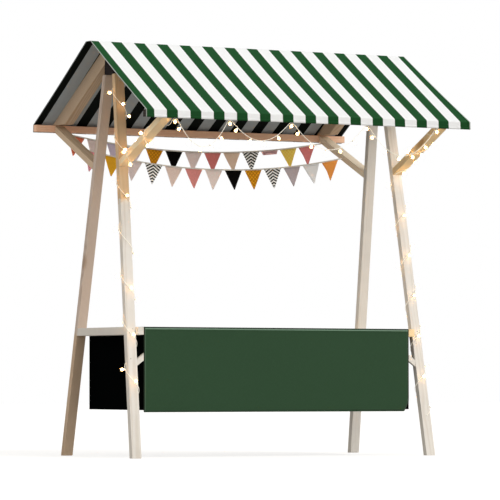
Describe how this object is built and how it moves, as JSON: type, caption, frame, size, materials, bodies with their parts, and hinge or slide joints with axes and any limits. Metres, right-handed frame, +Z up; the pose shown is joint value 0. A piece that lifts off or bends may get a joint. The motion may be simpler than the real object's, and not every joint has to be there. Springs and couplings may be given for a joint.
{
  "type": "wooden market stall",
  "caption": "Open-frame wooden market stall with A-frame trusses, a striped gable canopy, a cloth-fronted counter, pennants and string lights.",
  "frame": {"origin": "on the floor, at the middle of the stall's length and depth", "axes": "+Z up, +X along the ridge to the right as customers see it, -Y towards the customers"},
  "size_m": [2.21, 1.5338, 2.4999],
  "materials": {
    "bunting_cloth": "cotton in plain and patterned colours",
    "canopy_cloth": "woven cloth in white and dark green stripes",
    "timber": "planed pale pine",
    "counter_board": "planed boards",
    "counter_cloth": "plain dark green cloth",
    "lamp_glass": "warm lit bulbs",
    "lamp_cable": "pale sheath"
  },
  "bodies": {
    "root": {"bunting_middle": "bunting_cloth", "bunting_rear": "bunting_cloth", "canopy": "canopy_cloth", "counter_battens": "timber", "counter_bearer_left": "timber", "counter_bearer_right": "timber", "counter_brace_left": "timber", "counter_brace_right": "timber", "counter_rail_front": "timber", "counter_rail_rear": "timber", "counter_top": "counter_board", "eave_beam_front": "timber", "eave_beam_rear": "timber", "front_cloth": "counter_cloth", "leg_left_front": "timber", "leg_left_rear": "timber", "leg_right_front": "timber", "leg_right_rear": "timber", "light_bulbs_front": "lamp_glass", "light_bulbs_left": "lamp_glass", "light_cable_front": "lamp_cable", "light_cable_left": "lamp_cable", "rafter_left_front": "timber", "rafter_left_rear": "timber", "rafter_right_front": "timber", "rafter_right_rear": "timber", "ridge_beam": "timber", "side_cloth_left": "counter_cloth", "side_cloth_right": "counter_cloth", "side_rail_left": "timber", "side_rail_right": "timber", "strut_left_front": "timber", "strut_left_rear": "timber", "strut_right_front": "timber", "strut_right_rear": "timber", "truss_head_left": "timber", "truss_head_right": "timber"}
  },
  "joints": []
}
